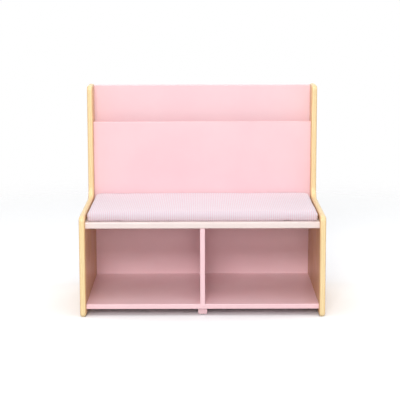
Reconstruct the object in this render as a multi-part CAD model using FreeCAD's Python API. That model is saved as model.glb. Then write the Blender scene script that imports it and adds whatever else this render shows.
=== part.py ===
"""Child's storage bench: two cubbies, a seat with a loose pad, and a picture-book pocket.

Frame: X to the right, Y to the back, Z up. The origin lies on the floor, under the middle of the bench.
Depths are given as distances back from the front of the side panels; y_at() turns them into Y.
"""
import FreeCAD, Part
import math
import os
from FreeCAD import Vector

# ---- driving dimensions, millimetres ----
WIDTH = 600.0
DEPTH = 380.0
HEIGHT = 542.0
SIDE_T = 15.0
SEAT_T = 15.0
BOARD_T = 12.0

# side panels
ARM_TOP = 250.0
UPRIGHT_FRONT = 304.0
EDGE_ROUND = 6.0
BASE_CORNER_R = 10.0
ARM_CORNER_R = 14.0
ELBOW_R = 25.0
TOP_CORNER_R = 12.0

# boards: heights, and distances back from the front
BOARD_FRONT = 14.0
SHELF_TOP = 29.5
SEAT_TOP = 233.0
POCKET_FRONT = 325.0
POCKET_TOP = 445.0
BACK_FRONT = 362.0
BACK_TOP = 539.0
BOARD_EDGE_R = 1.5
SEAT_EDGE_R = 2.5

# feet under the divider, by their distance back
FOOT_FRONT = {"centre_foot_front": 26.0, "centre_foot_rear": 315.0}
FOOT_W = 22.0
FOOT_D = 34.0
FOOT_CORNER_R = 4.0
GLIDE_T = 2.0
GLIDE_INSET = 2.0

# screws, plugs and dowels
SCREW_D = 4.5
HEAD_D = 9.0
HEAD_T = 3.0
RECESS_L = 4.4
RECESS_W = 1.1
RECESS_DEPTH = 2.0
LONG_SCREW = 42.0
SHORT_SCREW = 38.0
FOOT_SCREW = 24.0
PLUG_D = 10.0
PLUG_T = 4.0
PLUG_CHAMFER = 0.3
DOWEL_D = 6.0
DOWEL_L = 30.0
DOWEL_SINK = 9.0
DOWEL_CHAMFER = 0.8
HOLE_CLEARANCE = 0.1
TIP_GAP = 0.5

# loose seat pad
PAD_W = 564.0
PAD_FRONT = 33.0
PAD_BACK = 322.5
PAD_GAP = 0.3
PAD_T = 22.5
PAD_CORNER_R = 14.0
PAD_EDGE_R = 8.0
COVER_T = 1.2
FOAM_GAP = 0.2
ZIP_L = 460.0
ZIP_H = 5.0
ZIP_RIDGE_H = 3.0
ZIP_RIDGE_T = 0.8
SLIDER_W = 6.0
SLIDER_T = 1.0
PULL_W = 3.0
PULL_L = 8.0
PULL_T = 0.6

# ---- heights and places that follow from them ----
INNER_X = WIDTH / 2 - SIDE_T
SHELF_BOTTOM = SHELF_TOP - BOARD_T
SEAT_BOTTOM = SEAT_TOP - SEAT_T
SHELF_MID = SHELF_TOP - BOARD_T / 2
SEAT_MID = SEAT_TOP - SEAT_T / 2
POCKET_MID = POCKET_FRONT + BOARD_T / 2
BACK_MID = BACK_FRONT + BOARD_T / 2
BACK_REAR = BACK_FRONT + BOARD_T
PAD_BOTTOM = SEAT_TOP + PAD_GAP
PAD_MID = PAD_BOTTOM + PAD_T / 2

# Where the sides are joined to the ends of the boards: (distance back, height).
SIDE_SCREWS = (
    [(back, SEAT_MID) for back in (70, 190, 300)]
    + [(back, SHELF_MID) for back in (70, 190, 310)]
    + [(POCKET_MID, z) for z in (290, 410)]
    + [(BACK_MID, z) for z in (90, 300, 500)]
)
SIDE_DOWELS = (
    [(back, SEAT_MID) for back in (40, 245)]
    + [(back, SHELF_MID) for back in (40, 245)]
    + [(POCKET_MID, z) for z in (260, 350)]
    + [(BACK_MID, z) for z in (60, 190, 400, 520)]
)
DIVIDER_SCREWS_BACK = (80, 190, 290)
DIVIDER_DOWELS_BACK = (120, 245)
POCKET_SCREWS_X = (-240, -120, 120, 240)
BACK_SCREWS_X = (-200, -60, 60, 200)
BACK_SCREWS_Z = (80, 170)

UP = Vector(0, 0, 1)
DOWN = Vector(0, 0, -1)
FORWARD = Vector(0, -1, 0)
RIGHT = Vector(1, 0, 0)


# ---- small helpers ----

def y_at(back):
    """Y of a point this far back from the front of the side panels."""
    return back - DEPTH / 2


def block(x, back, z):
    """Box from (low, high) pairs: X, distance back, height."""
    corner = Vector(x[0], y_at(back[0]), z[0])
    return Part.makeBox(x[1] - x[0], back[1] - back[0], z[1] - z[0], corner)


def centred(width):
    return (-width / 2, width / 2)


def rod(start, direction, diameter, length):
    return Part.makeCylinder(diameter / 2, length, start, direction)


def near(a, b):
    return abs(a - b) < 1e-6


def round_edges(shape, radius, chosen):
    """Round the edges whose bounding box satisfies chosen()."""
    edges = [edge for edge in shape.Edges if chosen(edge.BoundBox)]
    return shape.makeFillet(radius, edges)


def bevel_edges(shape, size, chosen):
    edges = [edge for edge in shape.Edges if chosen(edge.BoundBox)]
    return shape.makeChamfer(size, edges)


# ---- screws and dowels, and the holes for them ----

def placed(shape, start, direction):
    """Move a shape that was made along +Z from the origin, so that it runs from start in direction."""
    moved = shape.copy()
    moved.Placement = FreeCAD.Placement(start, FreeCAD.Rotation(UP, direction))
    return moved


def screw_form(length, clearance):
    """Countersunk screw along +Z, its head's face at the origin, enlarged by a diametral clearance."""
    head = Part.makeCone((HEAD_D + clearance) / 2, (SCREW_D + clearance) / 2, HEAD_T)
    return head.fuse(rod(Vector(), UP, SCREW_D + clearance, length))


def cross_recess():
    """The cross-shaped driver recess in a screw's head."""
    long_slot = Part.makeBox(RECESS_L, RECESS_W, RECESS_DEPTH, Vector(-RECESS_L / 2, -RECESS_W / 2, 0))
    short_slot = Part.makeBox(RECESS_W, RECESS_L, RECESS_DEPTH, Vector(-RECESS_W / 2, -RECESS_L / 2, 0))
    return long_slot.fuse(short_slot)


def screw(start, direction, length):
    """Countersunk screw; start is the middle of the head's face."""
    return placed(screw_form(length, 0).cut(cross_recess()).removeSplitter(), start, direction)


def screw_hole(start, direction, length):
    return placed(screw_form(length + TIP_GAP, HOLE_CLEARANCE), start, direction)


def dowel(start, direction):
    """Dowel with bevelled ends; start is the middle of the end that is sunk less deep."""
    peg = rod(start, direction, DOWEL_D, DOWEL_L)
    return bevel_edges(peg, DOWEL_CHAMFER, lambda b: b.DiagonalLength < DOWEL_L)


def dowel_hole(start, direction):
    return rod(start - direction * TIP_GAP, direction, DOWEL_D + HOLE_CLEARANCE, DOWEL_L + 2 * TIP_GAP)


def side_screw_places(side):
    """Head positions in one side panel, side being -1 (left) or +1 (right), and their direction."""
    head_x = side * (WIDTH / 2 - PLUG_T)
    return [(Vector(head_x, y_at(back), z), Vector(-side, 0, 0)) for back, z in SIDE_SCREWS]


def side_dowel_places(side):
    start_x = side * (INNER_X + DOWEL_SINK)
    return [(Vector(start_x, y_at(back), z), Vector(-side, 0, 0)) for back, z in SIDE_DOWELS]


def divider_screw_places(z, direction):
    return [(Vector(0, y_at(back), z), direction) for back in DIVIDER_SCREWS_BACK]


def divider_dowel_places():
    places = []
    for back in DIVIDER_DOWELS_BACK:
        places.append((Vector(0, y_at(back), SHELF_TOP - DOWEL_SINK), UP))
        places.append((Vector(0, y_at(back), SEAT_BOTTOM + DOWEL_SINK), DOWN))
    return places


def pocket_screw_places():
    return [(Vector(x, y_at(POCKET_MID), SEAT_BOTTOM), UP) for x in POCKET_SCREWS_X]


def back_screw_places():
    spots = [(x, z) for z in (SHELF_MID, SEAT_MID) for x in BACK_SCREWS_X]
    spots += [(0, z) for z in BACK_SCREWS_Z]
    return [(Vector(x, y_at(BACK_REAR), z), FORWARD) for x, z in spots]


def foot_screw_places():
    middles = [front + FOOT_D / 2 for front in FOOT_FRONT.values()]
    return [(Vector(0, y_at(middle), GLIDE_T), UP) for middle in middles]


def screws(places, length):
    return Part.makeCompound([screw(start, direction, length) for start, direction in places])


def dowels(places):
    return Part.makeCompound([dowel(start, direction) for start, direction in places])


def holes_in_boards():
    """Every hole that the boards and the feet share, by the pieces that it passes through."""
    side_holes = []
    for side in (-1, 1):
        side_holes += [screw_hole(start, way, LONG_SCREW) for start, way in side_screw_places(side)]
        side_holes += [dowel_hole(start, way) for start, way in side_dowel_places(side)]
    lower = [screw_hole(start, way, SHORT_SCREW) for start, way in divider_screw_places(SHELF_BOTTOM, UP)]
    upper = [screw_hole(start, way, SHORT_SCREW) for start, way in divider_screw_places(SEAT_TOP, DOWN)]
    pegs = [dowel_hole(start, way) for start, way in divider_dowel_places()]
    pocket = [screw_hole(start, way, SHORT_SCREW) for start, way in pocket_screw_places()]
    back = [screw_hole(start, way, SHORT_SCREW) for start, way in back_screw_places()]
    feet = [screw_hole(start, way, FOOT_SCREW) for start, way in foot_screw_places()]
    return {
        "side": side_holes,
        "shelf": side_holes + lower + pegs + back + feet,
        "seat": side_holes + upper + pegs + pocket + back,
        "divider": lower + upper + pegs + back,
        "pocket": side_holes + pocket,
        "back": side_holes + back,
        "feet": feet,
    }


# ---- side panels ----

def rounded_outline(corners):
    """Closed wire in the YZ plane from (distance back, height, corner radius), in order."""
    points = [Vector(0, y_at(back), z) for back, z, radius in corners]
    arcs = []
    for i, (back, z, radius) in enumerate(corners):
        corner = points[i]
        to_last = (points[i - 1] - corner).normalize()
        to_next = (points[(i + 1) % len(points)] - corner).normalize()
        half_angle = to_last.getAngle(to_next) / 2
        inward = (to_last + to_next).normalize()
        centre = corner + inward * (radius / math.sin(half_angle))
        reach = radius / math.tan(half_angle)
        start = corner + to_last * reach
        end = corner + to_next * reach
        arcs.append((start, centre - inward * radius, end))
    edges = []
    for i, (start, middle, end) in enumerate(arcs):
        edges.append(Part.makeLine(arcs[i - 1][2], start))
        edges.append(Part.Arc(start, middle, end).toShape())
    return Part.Wire(edges)


def side_panel(side, holes):
    """L-shaped panel: a low arm along the seat and a tall upright at the back."""
    outline = rounded_outline([
        (0, 0, BASE_CORNER_R),
        (DEPTH, 0, BASE_CORNER_R),
        (DEPTH, HEIGHT, TOP_CORNER_R),
        (UPRIGHT_FRONT, HEIGHT, TOP_CORNER_R),
        (UPRIGHT_FRONT, ARM_TOP, ELBOW_R),
        (0, ARM_TOP, ARM_CORNER_R),
    ])
    panel = Part.Face(outline).extrude(RIGHT * SIDE_T)
    panel = round_edges(panel, EDGE_ROUND, lambda b: near(b.XLength, 0))
    panel.translate(Vector(INNER_X if side > 0 else -WIDTH / 2, 0, 0))
    plug_holes = []
    for start, inward in side_screw_places(side):
        mouth = start - inward * (2 * PLUG_T)
        plug_holes.append(rod(mouth, inward, PLUG_D, 2 * PLUG_T))
    return panel.cut(holes + plug_holes)


def screw_plugs(side):
    """Wood plugs over the heads of the side screws, flush with the panel and bevelled round the rim."""
    plugs = []
    for start, inward in side_screw_places(side):
        outer = side * WIDTH / 2
        peg = rod(start, inward * -1, PLUG_D - HOLE_CLEARANCE, PLUG_T)
        plugs.append(bevel_edges(peg, PLUG_CHAMFER, lambda b: near(b.XMin, outer) and near(b.XMax, outer)))
    return Part.makeCompound(plugs)


# ---- boards and feet ----

def front_edge(b):
    """An edge across the bench, at the front of a board."""
    return near(b.YMin, y_at(BOARD_FRONT)) and near(b.YMax, y_at(BOARD_FRONT)) and near(b.ZLength, 0)


def upright_front_edge(b):
    return near(b.YMin, y_at(BOARD_FRONT)) and near(b.YMax, y_at(BOARD_FRONT)) and near(b.XLength, 0)


def seat_board(holes):
    board = block(centred(2 * INNER_X), (BOARD_FRONT, BACK_FRONT), (SEAT_BOTTOM, SEAT_TOP))
    return round_edges(board, SEAT_EDGE_R, front_edge).cut(holes)


def bottom_shelf(holes):
    board = block(centred(2 * INNER_X), (BOARD_FRONT, BACK_FRONT), (SHELF_BOTTOM, SHELF_TOP))
    return round_edges(board, BOARD_EDGE_R, front_edge).cut(holes)


def centre_divider(holes):
    board = block(centred(BOARD_T), (BOARD_FRONT, BACK_FRONT), (SHELF_TOP, SEAT_BOTTOM))
    return round_edges(board, BOARD_EDGE_R, upright_front_edge).cut(holes)


def upright_board(front, bottom, top, holes):
    """Board that stands across the bench, with its two top edges rounded."""
    board = block(centred(2 * INNER_X), (front, front + BOARD_T), (bottom, top))
    board = round_edges(board, BOARD_EDGE_R, lambda b: near(b.ZMin, top) and near(b.YLength, 0))
    return board.cut(holes)


def centre_foot(front, holes):
    foot = block(centred(FOOT_W), (front, front + FOOT_D), (GLIDE_T, SHELF_BOTTOM))
    lowest = GLIDE_T + 1e-6
    foot = round_edges(foot, FOOT_CORNER_R, lambda b: b.ZMax < lowest and near(b.XLength, 0))
    return foot.cut(holes)


def foot_glides():
    pads = []
    reach = FOOT_CORNER_R + GLIDE_INSET
    for front in FOOT_FRONT.values():
        back = (front + GLIDE_INSET, front + FOOT_D - GLIDE_INSET)
        pad = block((-FOOT_W / 2 + reach, FOOT_W / 2 - reach), back, (0, GLIDE_T))
        pads.append(round_edges(pad, GLIDE_INSET, lambda b: near(b.ZLength, GLIDE_T)))
    return Part.makeCompound(pads)


# ---- loose seat pad ----

def pad_form(inset):
    """The pad's outer form, or a smaller one that lies inside it by the inset all round."""
    form = block(
        (-PAD_W / 2 + inset, PAD_W / 2 - inset),
        (PAD_FRONT + inset, PAD_BACK - inset),
        (PAD_BOTTOM + inset, PAD_BOTTOM + PAD_T - inset),
    )
    form = round_edges(form, PAD_CORNER_R - inset, lambda b: near(b.XLength, 0) and near(b.YLength, 0))
    return round_edges(form, PAD_EDGE_R - inset, lambda b: near(b.ZLength, 0))


def cushion_cover():
    opening = block(centred(ZIP_L), (PAD_BACK - COVER_T, PAD_BACK), (PAD_MID - ZIP_H / 2, PAD_MID + ZIP_H / 2))
    return pad_form(0).cut([pad_form(COVER_T), opening])


def cushion_zip():
    """Closed zip: a flat tape in the cover's rear wall with a raised row of teeth along it."""
    tape = block(centred(ZIP_L), (PAD_BACK - COVER_T, PAD_BACK), (PAD_MID - ZIP_H / 2, PAD_MID + ZIP_H / 2))
    teeth_z = (PAD_MID - ZIP_RIDGE_H / 2, PAD_MID + ZIP_RIDGE_H / 2)
    teeth = block(centred(ZIP_L - ZIP_H), (PAD_BACK, PAD_BACK + ZIP_RIDGE_T), teeth_z)
    return tape.fuse(teeth).removeSplitter()


def cushion_zip_slider():
    """Slider at the left end of the closed zip, with its pull hanging down."""
    left = -ZIP_L / 2 + 2 * SLIDER_W
    back = PAD_BACK + ZIP_RIDGE_T
    body_z = (PAD_MID - ZIP_H / 2, PAD_MID + ZIP_H / 2)
    body = block((left, left + SLIDER_W), (back, back + SLIDER_T), body_z)
    pull_x = (left + (SLIDER_W - PULL_W) / 2, left + (SLIDER_W + PULL_W) / 2)
    pull_y = (back + SLIDER_T - PULL_T, back + SLIDER_T)
    pull = block(pull_x, pull_y, (PAD_MID - PULL_L, PAD_MID))
    return body.fuse(pull).removeSplitter()


# ---- the whole bench ----

def all_parts():
    holes = holes_in_boards()
    parts = {
        "left_side_panel": side_panel(-1, holes["side"]),
        "right_side_panel": side_panel(1, holes["side"]),
        "seat_board": seat_board(holes["seat"]),
        "bottom_shelf": bottom_shelf(holes["shelf"]),
        "centre_divider": centre_divider(holes["divider"]),
        "book_pocket_front": upright_board(POCKET_FRONT, SEAT_TOP, POCKET_TOP, holes["pocket"]),
        "back_panel": upright_board(BACK_FRONT, SHELF_BOTTOM, BACK_TOP, holes["back"]),
        "foot_glides": foot_glides(),
        "left_connector_screws": screws(side_screw_places(-1), LONG_SCREW),
        "right_connector_screws": screws(side_screw_places(1), LONG_SCREW),
        "left_screw_plugs": screw_plugs(-1),
        "right_screw_plugs": screw_plugs(1),
        "left_dowels": dowels(side_dowel_places(-1)),
        "right_dowels": dowels(side_dowel_places(1)),
        "divider_lower_screws": screws(divider_screw_places(SHELF_BOTTOM, UP), SHORT_SCREW),
        "divider_upper_screws": screws(divider_screw_places(SEAT_TOP, DOWN), SHORT_SCREW),
        "divider_dowels": dowels(divider_dowel_places()),
        "pocket_front_screws": screws(pocket_screw_places(), SHORT_SCREW),
        "back_panel_screws": screws(back_screw_places(), SHORT_SCREW),
        "foot_screws": screws(foot_screw_places(), FOOT_SCREW),
        "cushion_cover": cushion_cover(),
        "cushion_foam": pad_form(COVER_T + FOAM_GAP),
        "cushion_zip": cushion_zip(),
        "cushion_zip_slider": cushion_zip_slider(),
    }
    for name, front in FOOT_FRONT.items():
        parts[name] = centre_foot(front, holes["feet"])
    return parts


os.makedirs("parts", exist_ok=True)
for name, shape in all_parts().items():
    shape.exportStep("parts/" + name + ".step")
    print(name, "valid" if shape.isValid() else "NOT VALID", len(shape.Solids), round(shape.Volume))
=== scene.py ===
import math

import bmesh
import bpy
from mathutils import Matrix, Vector, noise
from mathutils.bvhtree import BVHTree


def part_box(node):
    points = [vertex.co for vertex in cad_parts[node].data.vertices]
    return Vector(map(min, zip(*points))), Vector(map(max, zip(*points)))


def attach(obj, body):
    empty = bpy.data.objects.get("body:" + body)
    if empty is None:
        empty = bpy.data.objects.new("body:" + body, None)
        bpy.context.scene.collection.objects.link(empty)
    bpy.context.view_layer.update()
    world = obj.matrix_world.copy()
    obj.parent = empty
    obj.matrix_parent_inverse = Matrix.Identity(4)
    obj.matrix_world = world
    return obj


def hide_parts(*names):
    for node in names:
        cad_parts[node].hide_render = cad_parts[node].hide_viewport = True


# A child's storage bench: two cubbies, a seat with a loose striped pad, and a book pocket.
# All lengths are in metres, +X to the right seen from the front, +Y to the back, +Z up.

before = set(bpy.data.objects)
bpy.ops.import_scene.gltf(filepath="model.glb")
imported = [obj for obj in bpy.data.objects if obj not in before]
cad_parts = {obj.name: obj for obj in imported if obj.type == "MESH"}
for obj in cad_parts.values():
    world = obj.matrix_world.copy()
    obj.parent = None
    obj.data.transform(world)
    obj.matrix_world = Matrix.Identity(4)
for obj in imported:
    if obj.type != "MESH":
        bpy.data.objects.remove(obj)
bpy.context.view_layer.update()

# Seat pad
PAD_VOXEL = 0.005
PAD_START_INSET = 0.0003
PAD_START_THINNER = 0.0022
PAD_CORNER = 0.0045
PAD_TOP_EDGE = 0.0060
PAD_FOOT_EDGE = 0.0030
PAD_LET_OUT_FRONT = 0.0070
PAD_LET_OUT_ENDS = 0.0008
PAD_PRESSURE = 4.0
PAD_SWELL_FRAMES = 20
PAD_MOST_SWELL = 0.0030
PAD_MOST_PULL = 0.0009
PAD_SIDE_GAP = 0.0015
PAD_REAR_GAP = 0.0012
PAD_REST_GAP = 0.00012
FILLING_SWELL = 0.0009
FILLING_DIMPLE = 0.0004
FRONT_RIPPLE = 0.0008
FOAM_INSET = 0.0042
FOAM_VOXEL = 0.008
STRIPE_PITCH = 0.00465
THREAD_PITCH = 0.00042

# Sewing and zip
STITCH_LENGTH = 0.0028
STITCH_GAP = 0.0011
STITCH_RADIUS = 0.00024
SEAM_HALF_WIDTH = 0.0026
SEAM_DEPTH = 0.0011
ZIP_TURN = 0.0020
ZIP_WIRE = 0.00028
SEAM_ROW_OFFSET = 0.0030
ZIP_ROW_OFFSET = 0.0008
ZIP_COLUMNS = 230
ZIP_TAPE_HEM = 0.0012
ZIP_TAPE_PROUD = 0.00025
ZIP_TAPE_THICKNESS = 0.0004
ZIP_COIL_END = 0.003
ZIP_COIL_PROUD = 0.0006
ZIP_COIL_DEPTH = 0.00040
ZIP_COIL_HEIGHT = 0.0014
ZIP_COIL_STEPS = 9
SLIDER_PLATE = 0.0007
SLIDER_EDGE = 0.00018
SLIDER_HALF_WIDTH = 0.0028
SLIDER_HALF_HEIGHT = 0.0026
BRIDGE_HALF_WIDTH = 0.0007
BRIDGE_HALF_HEIGHT = 0.0016
PULL_HALF_WIDTH = 0.0018
PULL_THICKNESS = 0.0006
PULL_HOLE = (0.0008, 0.0012)
TUBE_TIP = 0.35
LOOK_FROM = 0.05

# Side boards: wood glued up from upright staves
STAVE_WIDTH = 0.062
RING_GAP = 0.0042
FACE_RING_SHADE = 0.76
FACE_MARK_SHADE = 0.62

# Studio
FLOOR_RADIUS = 4.5
FLOOR_BOUNCE = 0.70
FLOOR_FADE_FROM = 0.9
FLOOR_FADE_TO = 2.2
CAMERA_PLACE = (-0.0034, -3.4595, 0.8369)
CAMERA_TILT_DOWN = 9.48
CAMERA_TURN = -0.042
CAMERA_ROLL = -0.143
CAMERA_LENS = 123.7
SENSOR = 36.0
WORLD_FILL = 0.215
BACKDROP_SHINE = 0.85
AIM = (0.0, 0.0, 0.25)


# ---------------------------------------------------------------- node helpers

class Net:
    """A node tree, with short calls for the nodes that the finishes use."""

    def __init__(self, tree):
        self.tree = tree

    def node(self, kind, **settings):
        made = self.tree.nodes.new(kind)
        for name, value in settings.items():
            setattr(made, name, value)
        return made

    def feed(self, socket, value):
        """Links the socket to value if that is a socket too, and else sets it to value."""
        if isinstance(value, bpy.types.NodeSocket):
            self.tree.links.new(value, socket)
        else:
            socket.default_value = value

    def math(self, operation, first, second=0.0):
        made = self.node("ShaderNodeMath", operation=operation)
        self.feed(made.inputs[0], first)
        self.feed(made.inputs[1], second)
        return made.outputs[0]

    def vector(self, operation, first, second=(0.0, 0.0, 0.0)):
        made = self.node("ShaderNodeVectorMath", operation=operation)
        self.feed(made.inputs[0], first)
        self.feed(made.inputs[1], second)
        return made.outputs["Value" if operation in ("DOT_PRODUCT", "LENGTH") else "Vector"]

    def ramp(self, value, low, high, to_low=0.0, to_high=1.0):
        """Turns a value from low to high smoothly into one from to_low to to_high."""
        made = self.node("ShaderNodeMapRange", interpolation_type="SMOOTHSTEP")
        for name, number in (("Value", value), ("From Min", low), ("From Max", high),
                             ("To Min", to_low), ("To Max", to_high)):
            self.feed(made.inputs[name], number)
        return made.outputs["Result"]

    def mix(self, factor, first, second, blend="MIX"):
        """A colour mix. Colours that stand still are given as (red, green, blue)."""
        made = self.node("ShaderNodeMix", data_type="RGBA", blend_type=blend)
        colours = [(*c, 1.0) if isinstance(c, tuple) else c for c in (first, second)]
        self.feed(made.inputs[0], factor)
        self.feed(made.inputs[6], colours[0])
        self.feed(made.inputs[7], colours[1])
        return made.outputs[2]

    def noise(self, place, scale, detail=2.0, roughness=0.5):
        made = self.node("ShaderNodeTexNoise")
        self.feed(made.inputs["Vector"], place)
        self.feed(made.inputs["Scale"], scale)
        self.feed(made.inputs["Detail"], detail)
        self.feed(made.inputs["Roughness"], roughness)
        return made.outputs["Fac"]

    def split(self, place):
        made = self.node("ShaderNodeSeparateXYZ")
        self.feed(made.inputs[0], place)
        return made.outputs[0], made.outputs[1], made.outputs[2]

    def join(self, x, y, z):
        made = self.node("ShaderNodeCombineXYZ")
        for socket, value in zip(made.inputs, (x, y, z)):
            self.feed(socket, value)
        return made.outputs[0]

    def place(self):
        """The point on the piece, in metres."""
        return self.node("ShaderNodeTexCoord").outputs["Object"]

    def bump(self, height, distance, strength=1.0):
        made = self.node("ShaderNodeBump")
        self.feed(made.inputs["Height"], height)
        self.feed(made.inputs["Distance"], distance)
        self.feed(made.inputs["Strength"], strength)
        return made.outputs["Normal"]

    def effect(self, group, **values):
        """Places a node group and returns its outputs by name."""
        made = self.node("ShaderNodeGroup")
        made.node_tree = group
        for name, value in values.items():
            self.feed(made.inputs[name.replace("_", " ")], value)
        return made.outputs


def new_group(name, inputs, outputs):
    """An empty node group with named sockets, as its net, its inputs and its output node."""
    tree = bpy.data.node_groups.new(name, "ShaderNodeTree")
    for label, value in inputs.items():
        kind = "NodeSocketVector" if isinstance(value, tuple) else "NodeSocketFloat"
        tree.interface.new_socket(label, in_out="INPUT", socket_type=kind).default_value = value
    for label in outputs:
        tree.interface.new_socket(label, in_out="OUTPUT", socket_type="NodeSocketFloat")
    net = Net(tree)
    return net, net.node("NodeGroupInput").outputs, net.node("NodeGroupOutput").inputs


def new_finish(name, roughness, metallic=0.0, **sockets):
    """A material with one Principled shader, as the material, its net and the shader's inputs."""
    material = bpy.data.materials.new(name)
    material.use_nodes = True
    net = Net(material.node_tree)
    shader = next(n for n in material.node_tree.nodes if n.type == "BSDF_PRINCIPLED")
    net.feed(shader.inputs["Roughness"], roughness)
    net.feed(shader.inputs["Metallic"], metallic)
    for socket_name, value in sockets.items():
        net.feed(shader.inputs[socket_name.replace("_", " ")], value)
    return material, net, shader.inputs


# ---------------------------------------------------------------- shared effects

def worn_edge_group():
    """Where an edge or a corner is rubbed: 1 on the sharpest turns, broken up by noise."""
    net, given, out = new_group("worn_edge", {"Radius": 0.002, "Bite": 6.0}, ["Wear"])
    bevel = net.node("ShaderNodeBevel", samples=6)
    net.feed(bevel.inputs["Radius"], given["Radius"])
    true_normal = net.node("ShaderNodeNewGeometry").outputs["Normal"]
    straight = net.vector("DOT_PRODUCT", bevel.outputs["Normal"], true_normal)
    turn = net.math("MULTIPLY", net.math("SUBTRACT", 1.0, straight), given["Bite"])
    patchy = net.ramp(net.noise(net.place(), 70.0, 4.0, 0.65), 0.42, 0.66, 0.25, 1.0)
    wear = net.math("MULTIPLY", net.math("MINIMUM", turn, 1.0), patchy)
    net.feed(out["Wear"], wear)
    return net.tree


def handling_group():
    """Soft smudges and wiped areas, which change the gloss a little."""
    net, given, out = new_group("handling", {"Scale": 9.0}, ["Smudge", "Wipe"])
    cloud = net.noise(net.place(), given["Scale"], 5.0, 0.6)
    net.feed(out["Smudge"], net.ramp(cloud, 0.35, 0.7))
    streaks = net.vector("MULTIPLY", net.place(), (1.0, 1.0, 0.18))
    net.feed(out["Wipe"], net.ramp(net.noise(streaks, 130.0, 3.0, 0.6), 0.35, 0.7))
    return net.tree


def paint_film_group():
    """Sprayed paint: fine orange peel, a slow drift of tone and a few dust nibs."""
    net, given, out = new_group("paint_film", {"Peel": 520.0}, ["Height", "Drift", "Nib"])
    place = net.place()
    peel = net.noise(place, given["Peel"], 2.0, 0.45)
    sag = net.noise(place, 85.0, 2.0, 0.5)
    nibs = net.node("ShaderNodeTexVoronoi")
    net.feed(nibs.inputs["Vector"], place)
    net.feed(nibs.inputs["Scale"], 55.0)
    nib = net.ramp(nibs.outputs["Distance"], 0.0, 0.045, 1.0, 0.0)
    height = net.math("ADD", peel, net.math("MULTIPLY", sag, 0.9))
    net.feed(out["Height"], net.math("ADD", height, net.math("MULTIPLY", nib, 0.8)))
    net.feed(out["Drift"], net.ramp(net.noise(place, 6.5, 3.0, 0.55), 0.3, 0.7))
    net.feed(out["Nib"], nib)
    return net.tree


def wood_figure_group():
    """Sawn boards side by side: growth rings, fibres and pores, with the grain along Z.

    The rings are a solid pattern, so flat faces show long arches and board ends show arcs."""
    inputs = {"Place": (0.0, 0.0, 0.0), "Stave width": STAVE_WIDTH, "Ring gap": RING_GAP, "Seed": 0.0}
    outputs = ["Ring", "Fibre", "Pore", "Tone", "Glue line", "Height"]
    net, given, out = new_group("wood_figure", inputs, outputs)
    across_grain, along_width, along_grain = net.split(given["Place"])
    stave_at = net.math("DIVIDE", along_width, given["Stave width"])
    stave = net.math("FLOOR", stave_at)
    chance = net.node("ShaderNodeTexWhiteNoise", noise_dimensions="1D")
    net.feed(chance.inputs["W"], net.math("ADD", stave, given["Seed"]))
    draw_a, draw_b, draw_c = net.split(chance.outputs["Color"])
    in_stave = net.math("SUBTRACT", net.math("FRACT", stave_at), 0.5)
    in_stave = net.math("MULTIPLY", in_stave, given["Stave width"])
    heart_depth = net.math("ADD", net.math("MULTIPLY", draw_a, 0.05), 0.018)
    heart_side = net.math("MULTIPLY", net.math("SUBTRACT", draw_b, 0.5), 0.09)
    lean = net.math("MULTIPLY", net.math("SUBTRACT", draw_c, 0.5), 0.11)
    slow = net.vector("MULTIPLY", given["Place"], (1.0, 1.0, 0.32))
    slow = net.vector("ADD", slow, net.join(chance.outputs["Value"], draw_a, draw_b))
    sway = net.math("MULTIPLY", net.math("SUBTRACT", net.noise(slow, 9.0, 3.0, 0.5), 0.5), 0.034)
    side = net.math("SUBTRACT", in_stave, heart_side)
    side = net.math("ADD", side, net.math("MULTIPLY", along_grain, lean))
    from_heart = net.vector("LENGTH", net.join(net.math("ADD", across_grain, heart_depth), side, 0.0))
    rings = net.math("DIVIDE", net.math("ADD", from_heart, sway), given["Ring gap"])
    saw = net.math("FRACT", net.math("ADD", rings, net.math("MULTIPLY", draw_c, 17.0)))
    ring = net.math("MULTIPLY", net.ramp(saw, 0.25, 0.86), net.ramp(saw, 0.9, 1.0, 1.0, 0.0))
    fine = net.vector("MULTIPLY", given["Place"], (1.0, 1.0, 0.03))
    fibre = net.noise(fine, 900.0, 3.0, 0.6)
    dashes = net.vector("MULTIPLY", given["Place"], (1.0, 1.0, 0.075))
    pore = net.ramp(net.noise(dashes, 1500.0, 1.0, 0.4), 0.66, 0.74)
    near_joint = net.math("ABSOLUTE", net.math("SUBTRACT", net.math("FRACT", stave_at), 0.5))
    glue = net.ramp(near_joint, 0.4935, 0.4985)
    height = net.math("ADD", net.math("MULTIPLY", fibre, 0.5), net.math("MULTIPLY", ring, 0.35))
    height = net.math("SUBTRACT", height, net.math("MULTIPLY", pore, 0.9))
    net.feed(out["Ring"], ring)
    net.feed(out["Fibre"], net.ramp(fibre, 0.3, 0.72))
    net.feed(out["Pore"], pore)
    net.feed(out["Tone"], chance.outputs["Value"])
    net.feed(out["Glue line"], glue)
    net.feed(out["Height"], height)
    return net.tree


def plain_weave_group():
    """Threads that cross over and under: a bead per crossing, and which thread lies on top."""
    inputs = {"Across": 0.0, "Along": 0.0, "Pitch": THREAD_PITCH}
    net, given, out = new_group("plain_weave", inputs, ["Height", "On top"])
    beads = []
    cells = []
    for way in ("Across", "Along"):
        count = net.math("DIVIDE", given[way], given["Pitch"])
        wave = net.math("SINE", net.math("MULTIPLY", count, math.pi))
        beads.append(net.math("ABSOLUTE", wave))
        cells.append(net.math("FLOOR", count))
    net.feed(out["Height"], net.math("MULTIPLY", beads[0], beads[1]))
    parity = net.math("FRACT", net.math("MULTIPLY", net.math("ADD", cells[0], cells[1]), 0.5))
    net.feed(out["On top"], net.math("MULTIPLY", parity, 2.0))
    return net.tree


EFFECTS = {
    "worn_edge": worn_edge_group(),
    "handling": handling_group(),
    "paint_film": paint_film_group(),
    "wood_figure": wood_figure_group(),
    "plain_weave": plain_weave_group(),
}


# ---------------------------------------------------------------- finishes

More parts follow.
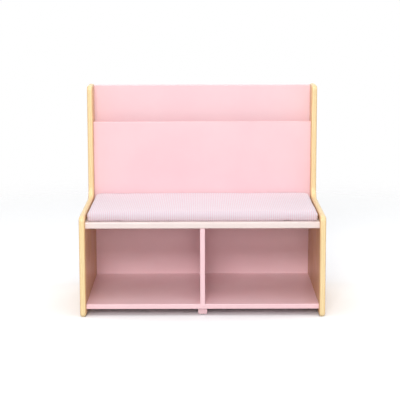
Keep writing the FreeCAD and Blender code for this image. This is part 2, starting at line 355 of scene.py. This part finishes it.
def satin_paint(name, pale, deep, primer, roughness):
    """Satin paint on board. Its tone drifts a little, and its edges are rubbed thin."""
    material, net, shader = new_finish(name, roughness)
    film = net.effect(EFFECTS["paint_film"])
    hands = net.effect(EFFECTS["handling"], Scale=7.0)
    edge = net.effect(EFFECTS["worn_edge"], Radius=0.0022, Bite=5.0)
    colour = net.mix(film["Drift"], pale, deep)
    colour = net.mix(net.math("MULTIPLY", hands["Smudge"], 0.06), colour, deep)
    colour = net.mix(net.math("MULTIPLY", film["Nib"], 0.20), colour, primer)
    colour = net.mix(net.math("MULTIPLY", edge["Wear"], 0.45), colour, primer)
    net.feed(shader["Base Color"], colour)
    gloss = net.ramp(hands["Smudge"], 0.0, 1.0, roughness - 0.006, roughness + 0.012)
    gloss = net.math("SUBTRACT", gloss, net.math("MULTIPLY", hands["Wipe"], 0.008))
    net.feed(shader["Roughness"], net.math("SUBTRACT", gloss, net.math("MULTIPLY", edge["Wear"], 0.06)))
    net.feed(shader["Normal"], net.bump(film["Height"], 0.00006, 0.6))
    return material


def clear_wood(name, place_of, pale, deep, end_tone, seed=0.0, stave=STAVE_WIDTH, gap=RING_GAP, coat=0.35,
               face_shade_share=0.0):
    """Lacquered pale wood. place_of turns the point on the piece so that its grain runs along Z."""
    material, net, shader = new_finish(name, 0.48, Coat_Weight=coat, Coat_Roughness=0.2)
    place = place_of(net)
    wood = net.effect(EFFECTS["wood_figure"], Place=place, Stave_width=stave, Ring_gap=gap, Seed=seed)
    hands = net.effect(EFFECTS["handling"], Scale=6.0)
    edge = net.effect(EFFECTS["worn_edge"], Radius=0.003, Bite=4.0)
    facing = net.split(net.node("ShaderNodeNewGeometry").outputs["Normal"])
    # Faces that look along X are painted darker, towards the deep colour: painted shade on top of the
    # wood's own deeper face tone.
    painted_face_shade = net.ramp(net.math("ABSOLUTE", facing[0]), 0.45, 0.98, 0.0, face_shade_share)
    light = net.mix(painted_face_shade, pale, deep)
    dark = net.mix(painted_face_shade, deep, tuple(part * FACE_RING_SHADE for part in deep))
    colour = net.mix(net.math("MULTIPLY", wood["Ring"], 0.42), light, dark)
    colour = net.mix(net.math("MULTIPLY", wood["Fibre"], 0.22), colour, dark)
    tone = net.ramp(wood["Tone"], 0.0, 1.0, 0.0, 0.16)
    colour = net.mix(tone, colour, net.mix(painted_face_shade, end_tone, dark))
    marks = net.mix(painted_face_shade, end_tone, tuple(part * FACE_MARK_SHADE for part in deep))
    colour = net.mix(net.math("MULTIPLY", wood["Pore"], 0.45), colour, marks)
    colour = net.mix(net.math("MULTIPLY", wood["Glue line"], 0.55), colour, marks)
    end_grain = net.ramp(net.math("ABSOLUTE", facing[2]), 0.55, 0.95, 0.0, 0.12)
    colour = net.mix(end_grain, colour, end_tone)
    colour = net.mix(net.math("MULTIPLY", edge["Wear"], 0.18), colour, pale)
    net.feed(shader["Base Color"], colour)
    gloss = net.ramp(hands["Smudge"], 0.0, 1.0, 0.44, 0.56)
    net.feed(shader["Roughness"], net.math("ADD", gloss, net.math("MULTIPLY", wood["Pore"], 0.15)))
    net.feed(shader["Normal"], net.bump(wood["Height"], 0.00012, 0.5))
    return material


def upright_grain(net):
    """Grain along Z."""
    return net.place()


def plug_grain(net):
    """Grain along Y, so that a plug shows long grain on its round face."""
    x, y, z = net.split(net.place())
    return net.join(x, z, y)


def dowel_grain(net):
    """Grain along X, the dowels' own direction."""
    x, y, z = net.split(net.place())
    return net.join(z, y, x)


def plated_steel(name, bright, dull, roughness):
    """Plated metal with a clouded film, fine scratches and a paler rim."""
    material, net, shader = new_finish(name, roughness, 1.0)
    hands = net.effect(EFFECTS["handling"], Scale=160.0)
    edge = net.effect(EFFECTS["worn_edge"], Radius=0.0006, Bite=4.0)
    scratches = net.noise(net.vector("MULTIPLY", net.place(), (1.0, 0.05, 1.0)), 5200.0, 2.0, 0.6)
    colour = net.mix(hands["Smudge"], bright, dull)
    net.feed(shader["Base Color"], net.mix(edge["Wear"], colour, bright))
    gloss = net.ramp(hands["Smudge"], 0.0, 1.0, roughness - 0.08, roughness + 0.10)
    net.feed(shader["Roughness"], net.math("ADD", gloss, net.math("MULTIPLY", scratches, 0.06)))
    net.feed(shader["Normal"], net.bump(scratches, 0.00001, 0.5))
    return material


def pressed_felt():
    """Grey felt: matted hairs in lighter and darker flecks."""
    material, net, shader = new_finish("pressed_felt", 0.95, Sheen_Weight=0.35, Sheen_Roughness=0.6)
    hairs = net.noise(net.vector("MULTIPLY", net.place(), (1.0, 0.35, 1.0)), 2600.0, 5.0, 0.7)
    flecks = net.ramp(net.noise(net.place(), 900.0, 3.0, 0.6), 0.4, 0.65)
    colour = net.mix(net.ramp(hairs, 0.35, 0.65), (0.16, 0.155, 0.15), (0.34, 0.33, 0.32))
    net.feed(shader["Base Color"], net.mix(net.math("MULTIPLY", flecks, 0.35), colour, (0.48, 0.47, 0.45)))
    net.feed(shader["Normal"], net.bump(hairs, 0.0003, 0.9))
    return material


def striped_cotton():
    """Yarn-dyed cotton: fine pink and white stripes in a plain weave with slubs and soft creases."""
    material, net, shader = new_finish("striped_cotton_cloth", 0.86, Sheen_Weight=0.25, Sheen_Roughness=0.5)
    across = net.node("ShaderNodeAttribute", attribute_name="stripe_run").outputs["Fac"]
    along = net.node("ShaderNodeAttribute", attribute_name="thread_run").outputs["Fac"]
    weave = net.effect(EFFECTS["plain_weave"], Across=across, Along=along, Pitch=THREAD_PITCH)
    count = net.math("DIVIDE", across, STRIPE_PITCH)
    wave = net.math("SINE", net.math("MULTIPLY", count, 2.0 * math.pi))
    stripe = net.ramp(wave, -0.22, 0.22)
    slubs = net.noise(net.join(across, net.math("MULTIPLY", along, 0.04), 0.0), 1900.0, 3.0, 0.6)
    dyed = net.mix(net.ramp(slubs, 0.3, 0.75), (0.68, 0.45, 0.53), (0.73, 0.53, 0.60))
    undyed = net.mix(net.ramp(slubs, 0.3, 0.75), (0.70, 0.645, 0.695), (0.75, 0.70, 0.745))
    cloth = net.mix(stripe, undyed, dyed)
    cloth = net.mix(net.math("MULTIPLY", weave["On top"], 0.35), cloth, undyed)
    # Painted shade: the gaps between the threads are drawn darker.
    thread_gap_shade = net.ramp(weave["Height"], 0.0, 0.35, 0.28, 0.0)
    cloth = net.mix(thread_gap_shade, cloth, (0.62, 0.45, 0.51))
    net.feed(shader["Base Color"], cloth)
    soft = net.noise(net.place(), 34.0, 3.0, 0.5)
    net.feed(shader["Roughness"], net.ramp(soft, 0.3, 0.7, 0.80, 0.92))
    raised = net.math("ADD", net.math("MULTIPLY", weave["Height"], 0.10), soft)
    net.feed(shader["Normal"], net.bump(raised, 0.0012, 0.5))
    return material


def sewing_thread():
    """Twisted thread, ply by ply along the stitch."""
    material, net, shader = new_finish("sewing_thread", 0.7, Sheen_Weight=0.2)
    x, y, z = net.split(net.place())
    twist = net.math("SINE", net.math("MULTIPLY", net.math("ADD", net.math("ADD", x, y), z), 9000.0))
    # Painted light and shade: each ply is paler on its crown and darker in the groove beside it; the same
    # profile gives the bump.
    shade = net.ramp(twist, -0.8, 0.8)
    net.feed(shader["Base Color"], net.mix(shade, (0.86, 0.66, 0.71), (0.96, 0.84, 0.87)))
    net.feed(shader["Normal"], net.bump(shade, 0.0001, 0.6))
    return material


def open_cell_foam():
    """Cream foam: small open cells with darker pits."""
    material, net, shader = new_finish("open_cell_foam", 0.95)
    cells = net.node("ShaderNodeTexVoronoi")
    net.feed(cells.inputs["Vector"], net.place())
    net.feed(cells.inputs["Scale"], 650.0)
    pit = net.ramp(cells.outputs["Distance"], 0.1, 0.6)
    cloud = net.ramp(net.noise(net.place(), 60.0, 3.0, 0.5), 0.3, 0.7)
    body = net.mix(cloud, (0.80, 0.73, 0.56), (0.86, 0.81, 0.66))
    # Painted shade: the cell pits are drawn darker; the same mask gives their bump.
    net.feed(shader["Base Color"], net.mix(pit, (0.58, 0.50, 0.35), body))
    net.feed(shader["Normal"], net.bump(pit, 0.0008, 0.8))
    return material


def woven_zip_tape():
    """Zip tape: a twill-like woven band in dusty pink."""
    material, net, shader = new_finish("woven_zip_tape", 0.8, Sheen_Weight=0.2)
    x, y, z = net.split(net.place())
    weave = net.effect(EFFECTS["plain_weave"], Across=x, Along=z, Pitch=0.0005)
    slub = net.ramp(net.noise(net.place(), 700.0, 3.0, 0.6), 0.35, 0.7)
    colour = net.mix(weave["On top"], (0.80, 0.52, 0.58), (0.88, 0.64, 0.69))
    net.feed(shader["Base Color"], net.mix(net.math("MULTIPLY", slub, 0.4), colour, (0.92, 0.74, 0.78)))
    net.feed(shader["Normal"], net.bump(weave["Height"], 0.0001, 0.8))
    return material


def nylon_coil():
    """The zip's coil: smooth nylon, slightly translucent looking, with scuffed crowns."""
    material, net, shader = new_finish("nylon_coil", 0.38)
    scuff = net.ramp(net.noise(net.place(), 900.0, 3.0, 0.6), 0.4, 0.7)
    edge = net.effect(EFFECTS["worn_edge"], Radius=0.0003, Bite=4.0)
    colour = net.mix(scuff, (0.82, 0.56, 0.62), (0.90, 0.69, 0.74))
    colour = net.mix(net.math("MULTIPLY", edge["Wear"], 0.4), colour, (0.97, 0.88, 0.90))
    net.feed(shader["Base Color"], colour)
    net.feed(shader["Roughness"], net.ramp(scuff, 0.0, 1.0, 0.30, 0.46))
    net.feed(shader["Normal"], net.bump(scuff, 0.00004, 0.6))
    return material


FINISHES = {
    # On its X-facing faces, the side wood's deep colour is partly wood tone and partly painted shade.
    "natural_wood": clear_wood(
        "lacquered_side_wood", upright_grain, pale=(0.93, 0.765, 0.415), deep=(0.68, 0.38, 0.158),
        end_tone=(0.62, 0.40, 0.18), coat=0.30, face_shade_share=0.95),
    "plug_wood": clear_wood(
        "sanded_plug_wood", plug_grain, pale=(0.82, 0.60, 0.31), deep=(0.64, 0.42, 0.18),
        end_tone=(0.60, 0.39, 0.17), seed=41.0, stave=0.031, gap=0.0021),
    "dowel_wood": clear_wood(
        "turned_dowel_wood", dowel_grain, pale=(0.72, 0.55, 0.35), deep=(0.56, 0.39, 0.22),
        end_tone=(0.50, 0.35, 0.20), seed=83.0, stave=0.020, gap=0.0016, coat=0.0),
    "pink_paint": satin_paint(
        "pink_satin_paint", pale=(0.90, 0.622, 0.655), deep=(0.88, 0.585, 0.622),
        primer=(0.95, 0.75, 0.765), roughness=0.31),
    "cream_paint": satin_paint(
        "cream_satin_paint", pale=(0.83, 0.71, 0.68), deep=(0.79, 0.67, 0.64),
        primer=(0.92, 0.82, 0.79), roughness=0.34),
    "zinc_steel": plated_steel("bright_zinc", (0.74, 0.75, 0.76), (0.56, 0.57, 0.56), 0.32),
    "felt": pressed_felt(),
    "striped_cotton": striped_cotton(),
    "foam": open_cell_foam(),
    "zip_tape": woven_zip_tape(),
    "zip_metal": plated_steel("nickel_plate", (0.80, 0.77, 0.72), (0.66, 0.63, 0.58), 0.22),
}


def finish_cad_nodes():
    """Each carried-over CAD part gets the finish of its material slot."""
    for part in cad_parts.values():
        for index, material in enumerate(part.data.materials):
            part.data.materials[index] = FINISHES[material.name.split(".")[0]]


# ---------------------------------------------------------------- mesh helpers

def new_piece(name, mesh, finish, body="cushion"):
    """A named piece that rides on a body and takes its finish from a slot."""
    piece = bpy.data.objects.new(name, mesh)
    bpy.context.scene.collection.objects.link(piece)
    mesh.materials.clear()
    mesh.materials.append(finish)
    for face in mesh.polygons:
        face.use_smooth = True
    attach(piece, body)
    return piece


def round_outline(half_x, half_y, corner, steps=8):
    """A rounded rectangle as points, counter-clockwise from its right rear corner."""
    points = []
    for quarter in range(4):
        sign_x = (1, -1, -1, 1)[quarter]
        sign_y = (1, 1, -1, -1)[quarter]
        for step in range(steps + 1):
            angle = math.pi / 2 * (quarter + step / steps)
            points.append((sign_x * (half_x - corner) + corner * math.cos(angle),
                           sign_y * (half_y - corner) + corner * math.sin(angle)))
    return points


def rounded_slab(low, high, corner, foot_edge, top_edge, steps=6):
    """A closed slab between two box corners, with round corners from above and round edges."""
    centre = (low + high) / 2
    half = (high - low) / 2
    made = bmesh.new()
    rings = []
    quarters = ((low.z + foot_edge, foot_edge, -90, 0), (high.z - top_edge, top_edge, 0, 90))
    for middle, edge, first, last in quarters:
        for step in range(steps + 1):
            angle = math.radians(first + (last - first) * step / steps)
            inward = edge * (1 - math.cos(angle))
            height = middle + edge * math.sin(angle)
            outline = round_outline(half.x - inward, half.y - inward, max(corner - inward, 0.0005))
            rings.append([made.verts.new((centre.x + x, centre.y + y, height)) for x, y in outline])
    for lower, upper in zip(rings, rings[1:]):
        for i in range(len(lower)):
            j = (i + 1) % len(lower)
            made.faces.new((lower[i], lower[j], upper[j], upper[i]))
    made.faces.new(list(reversed(rings[0])))
    made.faces.new(rings[-1])
    return mesh_of(made, "slab")


def mesh_of(made, name):
    """The bmesh turned into a named mesh."""
    mesh = bpy.data.meshes.new(name)
    made.to_mesh(mesh)
    made.free()
    return mesh


def with_modifiers(holder):
    """The holder's mesh with its modifiers worked in."""
    graph = bpy.context.evaluated_depsgraph_get()
    return bpy.data.meshes.new_from_object(holder.evaluated_get(graph))


def worked(mesh, kind, **settings):
    """The mesh after one modifier of this kind."""
    holder = bpy.data.objects.new("holder", mesh)
    bpy.context.scene.collection.objects.link(holder)
    modifier = holder.modifiers.new("work", kind)
    for name, value in settings.items():
        setattr(modifier, name, value)
    made = with_modifiers(holder)
    bpy.data.objects.remove(holder)
    return made


def remeshed(mesh, voxel):
    """The mesh cut anew into even squares."""
    return worked(mesh, "REMESH", mode="VOXEL", voxel_size=voxel)


def subdivided(mesh):
    """The mesh after one subdivision."""
    return worked(mesh, "SUBSURF", levels=1, render_levels=1)


def swollen(mesh):
    """The mesh after its filling has pushed it up and drawn its sides in, each by a little at most."""
    holder = bpy.data.objects.new("swell_holder", mesh)
    bpy.context.scene.collection.objects.link(holder)
    cloth = holder.modifiers.new("swell", "CLOTH")
    cloth.settings.use_pressure = True
    cloth.settings.uniform_pressure_force = PAD_PRESSURE
    cloth.settings.effector_weights.gravity = 0.0
    for step in range(1, PAD_SWELL_FRAMES + 1):
        bpy.context.scene.frame_set(step)
    swelled = with_modifiers(holder)
    for before, after in zip(mesh.vertices, swelled.vertices):
        move = after.co - before.co
        flat = math.hypot(move.x, move.y)
        shorter = min(1.0, PAD_MOST_PULL / flat) if flat > 0.0 else 1.0
        rise = max(-PAD_MOST_SWELL, min(PAD_MOST_SWELL, move.z))
        after.co = before.co + Vector((move.x * shorter, move.y * shorter, rise))
    bpy.data.objects.remove(holder)
    bpy.context.scene.frame_set(1)
    return swelled


def tube(made, points, radius, sides=6):
    """Adds a closed tube along the points to a bmesh, thinner at its two ends."""
    rings = []
    for index, point in enumerate(points):
        before = points[max(index - 1, 0)]
        after = points[min(index + 1, len(points) - 1)]
        ahead = (after - before).normalized()
        side = ahead.cross(Vector((0.0, 0.0, 1.0)) if abs(ahead.z) < 0.9 else Vector((1.0, 0.0, 0.0)))
        side.normalize()
        up = side.cross(ahead)
        here = radius * (TUBE_TIP if index in (0, len(points) - 1) else 1.0)
        ring = []
        for step in range(sides):
            angle = 2 * math.pi * step / sides
            ring.append(made.verts.new(point + (side * math.cos(angle) + up * math.sin(angle)) * here))
        rings.append(ring)
    for lower, upper in zip(rings, rings[1:]):
        for i in range(sides):
            j = (i + 1) % sides
            made.faces.new((lower[i], lower[j], upper[j], upper[i]))
    made.faces.new(list(reversed(rings[0])))
    made.faces.new(rings[-1])


# ---------------------------------------------------------------- seat pad

class Pad:
    """The seat pad's box, and where its seams run."""

    low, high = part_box("cushion_cover")
    centre = (low + high) / 2
    half = (high - low) / 2
    seam = centre.z
    side_limit = half.x + PAD_SIDE_GAP
    rear_limit = high.y + PAD_REAR_GAP
    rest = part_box("seat_board")[1].z + PAD_REST_GAP


def normals_of(mesh):
    """Every point's outward direction, read before any point is moved."""
    return [vertex.normal.copy() for vertex in mesh.vertices]


def held_in_place(point):
    """A point of the pad, kept on the seat and clear of the sides and the pocket."""
    point.x = max(-Pad.side_limit, min(Pad.side_limit, point.x))
    point.y = min(Pad.rear_limit, point.y)
    point.z = max(Pad.rest, point.z)


def seamed_and_creased(mesh):
    """Draws the end and rear seams in, and lets the filling lie a little uneven."""
    for vertex, outward in zip(mesh.vertices, normals_of(mesh)):
        point = vertex.co
        from_seam = abs(point.z - Pad.seam)
        seam = max(0.0, 1.0 - from_seam / SEAM_HALF_WIDTH)
        on_wall = max(abs(outward.x), max(outward.y, 0.0)) ** 2
        point -= outward * SEAM_DEPTH * seam * seam * on_wall
        swell = noise.noise(Vector((point.x * 9.0, point.y * 11.0, 0.3)))
        dimple = noise.noise(Vector((point.x * 31.0, point.y * 26.0, 4.1)))
        if outward.z > -0.2:
            point.z += (FILLING_SWELL * swell + FILLING_DIMPLE * dimple) * max(0.0, outward.z)
        front = max(0.0, -outward.y)
        point.y -= FRONT_RIPPLE * front * noise.noise(Vector((point.x * 14.0, 1.7, point.z * 30.0)))
        held_in_place(point)


def mark_threads(mesh):
    """Stores how far each point lies across and along the cloth, as it wraps round the pad."""
    across = mesh.attributes.new("stripe_run", "FLOAT", "POINT")
    along = mesh.attributes.new("thread_run", "FLOAT", "POINT")
    for index, outward in enumerate(normals_of(mesh)):
        point = mesh.vertices[index].co
        down = Pad.half.z - abs(point.z - Pad.seam)
        flat = math.hypot(outward.x, outward.y) + 1e-6
        to_end = abs(outward.x) / flat
        to_front = abs(outward.y) / flat
        run = abs(point.x) + max(0.0, down) * to_end ** 3
        across.data[index].value = math.copysign(run, point.x)
        along.data[index].value = point.y + math.copysign(max(0.0, down) * to_front ** 3, point.y)


def make_pad_cover():
    """The cover: a slab let out a little, swollen by its filling, seamed and marked for its stripes."""
    inset = Vector((PAD_START_INSET, PAD_START_INSET, PAD_START_THINNER / 2))
    low = Pad.low + inset - Vector((PAD_LET_OUT_ENDS, PAD_LET_OUT_FRONT, 0.0))
    high = Pad.high - inset + Vector((PAD_LET_OUT_ENDS, 0.0, 0.0))
    mesh = rounded_slab(low, high, PAD_CORNER, PAD_FOOT_EDGE, PAD_TOP_EDGE)
    mesh = remeshed(mesh, PAD_VOXEL)
    mesh = swollen(mesh)
    for vertex in mesh.vertices:
        held_in_place(vertex.co)
    mesh = subdivided(mesh)
    seamed_and_creased(mesh)
    mark_threads(mesh)
    cover = new_piece("pad_cover", mesh, FINISHES["striped_cotton"])
    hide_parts("cushion_cover")
    return cover


def make_pad_foam():
    """The foam core, inside the cover."""
    inset = Vector((FOAM_INSET, FOAM_INSET, FOAM_INSET))
    mesh = rounded_slab(Pad.low + inset, Pad.high - inset, PAD_CORNER, PAD_FOOT_EDGE, PAD_TOP_EDGE)
    mesh = subdivided(remeshed(mesh, FOAM_VOXEL))
    foam = new_piece("pad_foam", mesh, FINISHES["foam"])
    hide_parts("cushion_foam")
    return foam


class Surface:
    """A piece's surface, which straight lines can be laid on."""

    def __init__(self, piece):
        self.tree = BVHTree.FromObject(piece, bpy.context.evaluated_depsgraph_get())

    def meet(self, start, direction):
        """The point where a line from start first meets the piece, or start if it never does."""
        hit = self.tree.ray_cast(Vector(start), Vector(direction))[0]
        return hit if hit is not None else Vector(start)


def stitch_run(made, cloth, start, step_way, inward, length):
    """Sews a row of stitches from start along step_way, laid on the cloth that inward meets."""
    pitch = STITCH_LENGTH + STITCH_GAP
    count = int(length / pitch)
    for index in range(count):
        points = []
        for part in (0.0, 0.18, 0.5, 0.82, 1.0):
            place = Vector(start) + Vector(step_way) * (index * pitch + part * STITCH_LENGTH)
            lift = STITCH_RADIUS * (math.sin(math.pi * part) * 1.5 - 0.7)
            points.append(cloth.meet(place, inward) - Vector(inward) * lift)
        tube(made, points, STITCH_RADIUS)


def make_pad_stitches(cover):
    """Two rows beside the seam on each end, and one on each side of the zip."""
    cloth = Surface(cover)
    made = bmesh.new()
    run_y = 2 * (Pad.half.y - PAD_CORNER)
    for side in (-1, 1):
        for row in (-SEAM_ROW_OFFSET, SEAM_ROW_OFFSET):
            start = (side * (Pad.side_limit + LOOK_FROM), Pad.low.y + PAD_CORNER, Pad.seam + row)
            stitch_run(made, cloth, start, (0, 1, 0), (-side, 0, 0), run_y)
    zip_low, zip_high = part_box("cushion_zip")
    for z in (zip_low.z - ZIP_ROW_OFFSET, zip_high.z + ZIP_ROW_OFFSET):
        start = (zip_low.x, Pad.rear_limit + LOOK_FROM, z)
        stitch_run(made, cloth, start, (1, 0, 0), (0, -1, 0), zip_high.x - zip_low.x)
    return new_piece("pad_stitches", mesh_of(made, "pad_stitches"), sewing_thread())


def make_zip_tape(cloth):
    """The tape, laid on the cover's rear wall."""
    low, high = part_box("cushion_zip")
    behind = Pad.rear_limit + LOOK_FROM
    rows = (low.z, low.z + ZIP_TAPE_HEM, (low.z + high.z) / 2, high.z - ZIP_TAPE_HEM, high.z)
    tape = bmesh.new()
    grid = []
    for column in range(ZIP_COLUMNS + 1):
        x = low.x + (high.x - low.x) * column / ZIP_COLUMNS
        line = [cloth.meet((x, behind, z), (0, -1, 0)) + Vector((0, ZIP_TAPE_PROUD, 0)) for z in rows]
        grid.append([tape.verts.new(point) for point in line])
    for left, right in zip(grid, grid[1:]):
        for i in range(len(rows) - 1):
            tape.faces.new((left[i], left[i + 1], right[i + 1], right[i]))
    band = new_piece("zip_tape", mesh_of(tape, "zip_tape"), FINISHES["zip_tape"])
    solid = band.modifiers.new("thickness", "SOLIDIFY")
    solid.thickness = ZIP_TAPE_THICKNESS
    solid.offset = 0.0
    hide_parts("cushion_zip")
    return band


def make_zip_coil(cloth):
    """The nylon coil that closes the tape, wound along its middle."""
    low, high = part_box("cushion_zip")
    middle = (low.z + high.z) / 2
    turns = int((high.x - low.x - 2 * ZIP_COIL_END) / ZIP_TURN)
    points = []
    for step in range(turns * ZIP_COIL_STEPS + 1):
        angle = 2 * math.pi * step / ZIP_COIL_STEPS
        x = low.x + ZIP_COIL_END + ZIP_TURN * step / ZIP_COIL_STEPS
        wall = cloth.meet((x, Pad.rear_limit + LOOK_FROM, middle), (0, -1, 0)).y
        y = wall + ZIP_COIL_PROUD + ZIP_COIL_DEPTH * math.cos(angle)
        points.append(Vector((x, y, middle + ZIP_COIL_HEIGHT * math.sin(angle))))
    coil = bmesh.new()
    tube(coil, points, ZIP_WIRE, sides=5)
    return new_piece("zip_coil", mesh_of(coil, "zip_coil"), nylon_coil())


def make_zip(cover):
    """The zip's tape and its coil, on the cover as it lies."""
    cloth = Surface(cover)
    make_zip_tape(cloth)
    make_zip_coil(cloth)


def plate(made, outline, y_low, y_high, hole=None):
    """Adds a flat plate with the outline in X and Z, and an optional hole, to a bmesh."""
    outlines = (outline, hole) if hole else (outline,)
    layers = []
    for y in (y_low, y_high):
        layers.append([[made.verts.new((x, y, z)) for x, z in ring] for ring in outlines])
    for near, far in zip(layers[0], layers[1]):
        for i in range(len(near)):
            j = (i + 1) % len(near)
            made.faces.new((near[i], near[j], far[j], far[i]))
    for rings in layers:
        if hole:
            for i in range(len(rings[0])):
                j = (i + 1) % len(rings[0])
                made.faces.new((rings[0][i], rings[0][j], rings[1][j], rings[1][i]))
        else:
            made.faces.new(rings[0])


def oval(x, z, half_x, half_z, steps=20):
    """Points round an ellipse."""
    turns = [2 * math.pi * step / steps for step in range(steps)]
    return [(x + half_x * math.cos(turn), z + half_z * math.sin(turn)) for turn in turns]


def make_zip_slider(cover):
    """The slider: a plate over the coil, a bridge, and a pull with a hole."""
    low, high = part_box("cushion_zip_slider")
    x = (low.x + high.x) / 2
    body_z = high.z - SLIDER_HALF_HEIGHT
    wall = Surface(cover).meet((x, Pad.rear_limit + LOOK_FROM, body_z), (0, -1, 0)).y
    made = bmesh.new()
    body = oval(x, body_z, SLIDER_HALF_WIDTH, SLIDER_HALF_HEIGHT)
    plate(made, body, wall + 0.0010, wall + 0.0010 + SLIDER_PLATE)
    bridge = oval(x, body_z - 0.0002, BRIDGE_HALF_WIDTH, BRIDGE_HALF_HEIGHT, 12)
    plate(made, bridge, wall + 0.0016, wall + 0.0023)
    pull = oval(x, (low.z + body_z) / 2, PULL_HALF_WIDTH, (body_z - low.z) / 2)
    pull_y = wall + 0.0018
    plate(made, pull, pull_y, pull_y + PULL_THICKNESS, hole=oval(x, low.z + 0.0026, *PULL_HOLE))
    bmesh.ops.recalc_face_normals(made, faces=made.faces)
    slider = new_piece("zip_slider", mesh_of(made, "zip_slider"), FINISHES["zip_metal"])
    soften = slider.modifiers.new("soft_edges", "BEVEL")
    soften.width = SLIDER_EDGE
    soften.segments = 2
    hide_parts("cushion_zip_slider")
    return slider


# ---------------------------------------------------------------- studio

def make_floor():
    """A round pale floor that fades into the white backdrop. It can be seen through from below."""
    made = bmesh.new()
    bmesh.ops.create_circle(made, cap_ends=True, segments=96, radius=FLOOR_RADIUS)
    mesh = mesh_of(made, "studio_floor")
    floor = bpy.data.objects.new("studio_floor", mesh)
    bpy.context.scene.collection.objects.link(floor)
    material, net, shader = new_finish("studio_floor_paint", 0.9, Base_Color=(0.975, 0.985, 1.0, 1.0))
    net.feed(shader["Specular IOR Level"], 0.0)
    dim = net.node("ShaderNodeBsdfDiffuse")
    net.feed(dim.inputs["Color"], (FLOOR_BOUNCE, FLOOR_BOUNCE, FLOOR_BOUNCE, 1.0))
    bounce = net.node("ShaderNodeMixShader")
    net.feed(bounce.inputs[0], net.node("ShaderNodeLightPath").outputs["Is Diffuse Ray"])
    net.feed(bounce.inputs[1], shader["Base Color"].node.outputs[0])
    net.feed(bounce.inputs[2], dim.outputs[0])
    distance = net.vector("LENGTH", net.place())
    fade = net.ramp(distance, FLOOR_FADE_FROM, FLOOR_FADE_TO)
    behind = net.node("ShaderNodeNewGeometry").outputs["Backfacing"]
    clear = net.node("ShaderNodeBsdfTransparent")
    share = net.node("ShaderNodeMixShader")
    net.feed(share.inputs[0], net.math("MAXIMUM", fade, behind))
    net.feed(share.inputs[1], bounce.outputs[0])
    net.feed(share.inputs[2], clear.outputs[0])
    output = next(n for n in material.node_tree.nodes if n.type == "OUTPUT_MATERIAL")
    net.feed(output.inputs[0], share.outputs[0])
    mesh.materials.append(material)


def soft_box(name, place, aim, width, height, power):
    """A rectangular soft light at place that points at aim."""
    light = bpy.data.lights.new(name, "AREA")
    light.shape = "RECTANGLE"
    light.size = width
    light.size_y = height
    light.energy = power
    lamp = bpy.data.objects.new(name, light)
    bpy.context.scene.collection.objects.link(lamp)
    lamp.location = place
    lamp.rotation_mode = "QUATERNION"
    lamp.rotation_quaternion = (Vector(aim) - Vector(place)).to_track_quat("-Z", "Y")


def around(azimuth, elevation, distance, aim):
    """A place round the bench: azimuth 0 is in front, positive to the left, in degrees."""
    turn = math.radians(azimuth)
    rise = math.radians(elevation)
    return Vector(aim) + distance * Vector((-math.sin(turn) * math.cos(rise),
                                            -math.cos(turn) * math.cos(rise), math.sin(rise)))



def make_lights():
    """A frontal key, a broad top light, and lights beside and behind that the front doesn't see."""
    # Each light's name, place, aim, width, height and power
    lights = (
        ("key_light", around(5, 23, 5.0, AIM), AIM, 1.5, 0.7, 86.0),
        ("front_fill", around(0, 10, 5.0, AIM), AIM, 1.2, 0.8, 35.0),
        ("top_light", (0.0, -1.3, 2.9), (0.0, 0.0, 0.2), 2.6, 2.2, 47.0),
        ("left_light", around(92, 22, 4.0, AIM), AIM, 1.0, 1.4, 54.0),
        ("right_light", around(-92, 22, 4.0, AIM), AIM, 1.0, 1.4, 54.0),
        ("rear_light", around(180, 45, 4.0, AIM), AIM, 2.4, 1.4, 38.0),
    )
    for light in lights:
        soft_box(*light)


def make_world():
    """White behind everything, and a weaker even fill that lights the bench."""
    world = bpy.data.worlds.new("studio_world")
    world.use_nodes = True
    bpy.context.scene.world = world
    net = Net(world.node_tree)
    fill = next(n for n in world.node_tree.nodes if n.type == "BACKGROUND")
    net.feed(fill.inputs["Strength"], WORLD_FILL)
    net.feed(fill.inputs["Color"], (1.0, 1.0, 1.0, 1.0))
    seen = net.node("ShaderNodeBackground")
    net.feed(seen.inputs["Color"], (1.0, 1.0, 1.0, 1.0))
    net.feed(seen.inputs["Strength"], 1.0)
    ray = net.node("ShaderNodeLightPath").outputs
    shine = net.math("MULTIPLY", ray["Is Glossy Ray"], BACKDROP_SHINE)
    share = net.node("ShaderNodeMixShader")
    net.feed(share.inputs[0], net.math("MAXIMUM", ray["Is Camera Ray"], shine))
    net.feed(share.inputs[1], fill.outputs[0])
    net.feed(share.inputs[2], seen.outputs[0])
    output = next(n for n in world.node_tree.nodes if n.type == "OUTPUT_WORLD")
    net.feed(output.inputs[0], share.outputs[0])


def make_camera():
    """The main view: from the front, a little above, looking slightly down."""
    lens = bpy.data.cameras.new("camera")
    lens.lens = CAMERA_LENS
    lens.sensor_width = SENSOR
    camera = bpy.data.objects.new("camera", lens)
    bpy.context.scene.collection.objects.link(camera)
    turn = Matrix.Rotation(math.radians(-CAMERA_TURN), 4, "Z")
    tilt = Matrix.Rotation(math.radians(90.0 - CAMERA_TILT_DOWN), 4, "X")
    roll = Matrix.Rotation(math.radians(CAMERA_ROLL), 4, "Z")
    camera.matrix_world = Matrix.Translation(CAMERA_PLACE) @ turn @ tilt @ roll
    bpy.context.scene.camera = camera
    bpy.context.scene.view_settings.view_transform = "Standard"


finish_cad_nodes()
pad_cover = make_pad_cover()
make_pad_foam()
make_pad_stitches(pad_cover)
make_zip(pad_cover)
make_zip_slider(pad_cover)
make_floor()
make_world()
make_lights()
make_camera()
